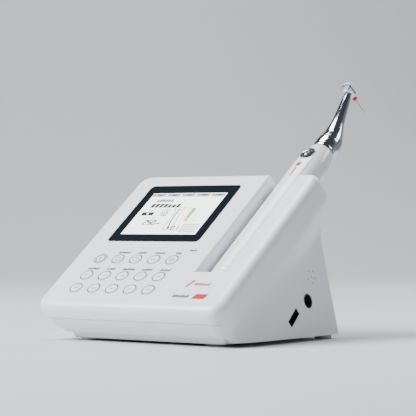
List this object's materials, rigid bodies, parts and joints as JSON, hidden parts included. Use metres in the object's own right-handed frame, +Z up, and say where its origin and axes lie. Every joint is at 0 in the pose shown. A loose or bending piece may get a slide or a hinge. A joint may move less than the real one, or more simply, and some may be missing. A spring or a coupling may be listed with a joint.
{
  "type": "endodontic motor",
  "caption": "Desktop endodontic motor: a sloped control console with a screen and keys, and a cordless handpiece with an angled head lying in its charging cradle.",
  "frame": {"origin": "on the table plane under the feet, below the middle of the whole object's length and width", "axes": "+X to the operator's right, +Y from the operator towards the back, +Z up"},
  "size_m": [0.1958, 0.2816, 0.225],
  "materials": {
    "housing_white": "satin-gloss moulded plastic",
    "key_white": "fine satin key cap",
    "rubber_grey": "soft grey rubber",
    "steel": "machined steel",
    "board_green": "coated glass-fibre board",
    "black_plastic": "gloss black",
    "chrome": "polished chrome",
    "gold_metal": "gold-coloured metal",
    "screen_glass": "polished black window",
    "display": "lit white display",
    "lamp_amber": "amber lens",
    "silicone_red": "red silicone",
    "battery_blue": "printed sleeve"
  },
  "bodies": {
    "console": {"upper_housing": "housing_white", "lower_housing": "housing_white", "base_plinth": "housing_white", "cradle_trough": "housing_white", "housing_screw_1": "steel", "housing_screw_2": "steel", "housing_screw_3": "steel", "housing_screw_4": "steel", "foot_front_left": "rubber_grey", "foot_front_right": "rubber_grey", "foot_rear_left": "rubber_grey", "foot_rear_right": "rubber_grey", "main_board": "board_green", "power_socket": "black_plastic", "lead_socket": "black_plastic", "speaker": "black_plastic", "screen_window": "screen_glass", "lcd_panel": "display", "status_lamp": "lamp_amber", "keypad_mat": "rubber_grey", "keypad_board": "board_green"},
    "key_power": {"key_power": "key_white"},
    "key_auto_reverse": {"key_auto_reverse": "key_white"},
    "key_direction": {"key_direction": "key_white"},
    "key_apex": {"key_apex": "key_white"},
    "key_set": {"key_set": "key_white"},
    "key_system_up": {"key_system_up": "key_white"},
    "key_file_up": {"key_file_up": "key_white"},
    "key_torque_up": {"key_torque_up": "key_white"},
    "key_speed_up": {"key_speed_up": "key_white"},
    "key_angle_up": {"key_angle_up": "key_white"},
    "key_system_down": {"key_system_down": "key_white"},
    "key_file_down": {"key_file_down": "key_white"},
    "key_torque_down": {"key_torque_down": "key_white"},
    "key_speed_down": {"key_speed_down": "key_white"},
    "key_angle_down": {"key_angle_down": "key_white"},
    "charge_pins": {"charge_pins": "gold_metal"},
    "handpiece": {"handpiece_shell": "housing_white", "handpiece_cover": "housing_white", "button_bezel": "black_plastic", "handpiece_end_cap": "housing_white", "handpiece_battery": "battery_blue", "handpiece_board": "board_green", "charge_pads": "gold_metal", "motor_can": "steel", "motor_nose": "steel", "nose_seal": "black_plastic"},
    "handpiece_button": {"handpiece_button": "black_plastic"},
    "motor_rotor": {"motor_rotor": "steel", "input_shaft": "steel"},
    "contra_angle": {"contra_sleeve": "chrome", "reduction_cartridge": "steel", "head_housing": "chrome", "head_bearing": "steel"},
    "bend_drive_gear": {"bend_drive_gear": "steel"},
    "neck_shaft": {"neck_shaft": "steel"},
    "chuck": {"chuck": "steel"},
    "rotary_file": {"rotary_file": "gold_metal"},
    "file_stopper": {"file_stopper": "silicone_red"},
    "push_cap": {"push_cap": "chrome"}
  },
  "joints": [
    {"name": "key_power_press", "type": "slide", "parent": "console", "child": "key_power", "axis": [0, 0.5948, -0.8039], "range_m": [0, 0.0006], "stiffness_N_per_m": 1000, "springref_m": -0.0005},
    {"name": "key_auto_reverse_press", "type": "slide", "parent": "console", "child": "key_auto_reverse", "axis": [0, 0.5948, -0.8039], "range_m": [0, 0.0006], "stiffness_N_per_m": 1000, "springref_m": -0.0005},
    {"name": "key_direction_press", "type": "slide", "parent": "console", "child": "key_direction", "axis": [0, 0.5948, -0.8039], "range_m": [0, 0.0006], "stiffness_N_per_m": 1000, "springref_m": -0.0005},
    {"name": "key_apex_press", "type": "slide", "parent": "console", "child": "key_apex", "axis": [0, 0.5948, -0.8039], "range_m": [0, 0.0006], "stiffness_N_per_m": 1000, "springref_m": -0.0005},
    {"name": "key_set_press", "type": "slide", "parent": "console", "child": "key_set", "axis": [0, 0.5948, -0.8039], "range_m": [0, 0.0006], "stiffness_N_per_m": 1000, "springref_m": -0.0005},
    {"name": "key_system_up_press", "type": "slide", "parent": "console", "child": "key_system_up", "axis": [0, 0.5948, -0.8039], "range_m": [0, 0.0006], "stiffness_N_per_m": 1000, "springref_m": -0.0005},
    {"name": "key_file_up_press", "type": "slide", "parent": "console", "child": "key_file_up", "axis": [0, 0.5948, -0.8039], "range_m": [0, 0.0006], "stiffness_N_per_m": 1000, "springref_m": -0.0005},
    {"name": "key_torque_up_press", "type": "slide", "parent": "console", "child": "key_torque_up", "axis": [0, 0.5948, -0.8039], "range_m": [0, 0.0006], "stiffness_N_per_m": 1000, "springref_m": -0.0005},
    {"name": "key_speed_up_press", "type": "slide", "parent": "console", "child": "key_speed_up", "axis": [0, 0.5948, -0.8039], "range_m": [0, 0.0006], "stiffness_N_per_m": 1000, "springref_m": -0.0005},
    {"name": "key_angle_up_press", "type": "slide", "parent": "console", "child": "key_angle_up", "axis": [0, 0.5948, -0.8039], "range_m": [0, 0.0006], "stiffness_N_per_m": 1000, "springref_m": -0.0005},
    {"name": "key_system_down_press", "type": "slide", "parent": "console", "child": "key_system_down", "axis": [0, 0.5948, -0.8039], "range_m": [0, 0.0006], "stiffness_N_per_m": 1000, "springref_m": -0.0005},
    {"name": "key_file_down_press", "type": "slide", "parent": "console", "child": "key_file_down", "axis": [0, 0.5948, -0.8039], "range_m": [0, 0.0006], "stiffness_N_per_m": 1000, "springref_m": -0.0005},
    {"name": "key_torque_down_press", "type": "slide", "parent": "console", "child": "key_torque_down", "axis": [0, 0.5948, -0.8039], "range_m": [0, 0.0006], "stiffness_N_per_m": 1000, "springref_m": -0.0005},
    {"name": "key_speed_down_press", "type": "slide", "parent": "console", "child": "key_speed_down", "axis": [0, 0.5948, -0.8039], "range_m": [0, 0.0006], "stiffness_N_per_m": 1000, "springref_m": -0.0005},
    {"name": "key_angle_down_press", "type": "slide", "parent": "console", "child": "key_angle_down", "axis": [0, 0.5948, -0.8039], "range_m": [0, 0.0006], "stiffness_N_per_m": 1000, "springref_m": -0.0005},
    {"name": "charge_pins_travel", "type": "slide", "parent": "console", "child": "charge_pins", "axis": [0, 0.5948, -0.8039], "range_m": [0, 0.001], "stiffness_N_per_m": 400, "springref_m": -0.001},
    {"name": "handpiece_lift_out", "type": "slide", "parent": "console", "child": "handpiece", "axis": [0, -0.5948, 0.8039], "range_m": [0, 0.1]},
    {"name": "handpiece_button_press", "type": "slide", "parent": "handpiece", "child": "handpiece_button", "axis": [0, 0.5225, -0.8526], "range_m": [0, 0.0006], "stiffness_N_per_m": 1500, "springref_m": -0.0005},
    {"name": "motor_spin", "type": "hinge", "parent": "handpiece", "child": "motor_rotor", "pos_m": [0.0551, 0.03696, 0.13805], "axis": [0, 0.8039, 0.5948], "continuous": true},
    {"name": "contra_angle_swivel", "type": "hinge", "parent": "handpiece", "child": "contra_angle", "pos_m": [0.0551, 0.06911, 0.16184], "axis": [0, 0.8039, 0.5948], "continuous": true},
    {"name": "bend_gear_spin", "type": "hinge", "parent": "contra_angle", "child": "bend_drive_gear", "pos_m": [0.0551, 0.07876, 0.16898], "axis": [0, 0.8039, 0.5948], "continuous": true},
    {"name": "neck_shaft_spin", "type": "hinge", "parent": "contra_angle", "child": "neck_shaft", "pos_m": [0.0551, 0.08197, 0.17136], "axis": [0, 0.5519, 0.8339], "continuous": true},
    {"name": "chuck_spin", "type": "hinge", "parent": "contra_angle", "child": "chuck", "pos_m": [0.0551, 0.11288, 0.21806], "axis": [0, -0.8339, 0.5519], "continuous": true},
    {"name": "file_pull_out", "type": "slide", "parent": "chuck", "child": "rotary_file", "axis": [0, 0.8339, -0.5519], "range_m": [0, 0.012]},
    {"name": "stopper_slide", "type": "slide", "parent": "rotary_file", "child": "file_stopper", "axis": [0, 0.8339, -0.5519], "range_m": [-0.0008, 0.015]},
    {"name": "push_cap_press", "type": "slide", "parent": "contra_angle", "child": "push_cap", "axis": [0, 0.8339, -0.5519], "range_m": [0, 0.0004], "stiffness_N_per_m": 4000, "springref_m": -0.001}
  ],
  "couplings": [
    {"joint": "bend_gear_spin", "follows": "motor_spin", "ratio": 0.125},
    {"joint": "neck_shaft_spin", "follows": "motor_spin", "ratio": 0.125},
    {"joint": "chuck_spin", "follows": "motor_spin", "ratio": -0.0625}
  ]
}
